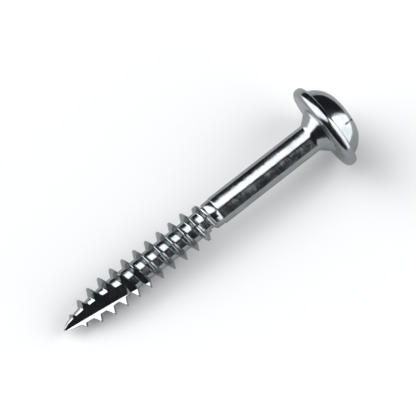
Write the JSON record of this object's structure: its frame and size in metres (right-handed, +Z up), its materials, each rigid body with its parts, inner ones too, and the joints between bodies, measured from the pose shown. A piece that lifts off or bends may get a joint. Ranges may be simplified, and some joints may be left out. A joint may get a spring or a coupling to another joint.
{
  "type": "wood screw",
  "caption": "Domed washer-head wood screw for pocket holes, with a flared neck, plain shank, coarse right-hand thread, fluted self-drilling point and square drive socket.",
  "frame": {"origin": "bottom centre of the bounding box, on the surface that the screw lies on", "axes": "+Z up; the screw lies on its side with its axis in the XZ plane, point towards -X and head towards +X; the axis rises 5.6 degrees towards the head, because the screw rests on the rim of its head and on the crest of its thread"},
  "size_m": [0.0418, 0.011, 0.011],
  "materials": {
    "zinc_plated_steel": "bright zinc plate, shiny, with fine rolling and handling marks"
  },
  "bodies": {
    "root": {"screw": "zinc_plated_steel"}
  },
  "joints": []
}
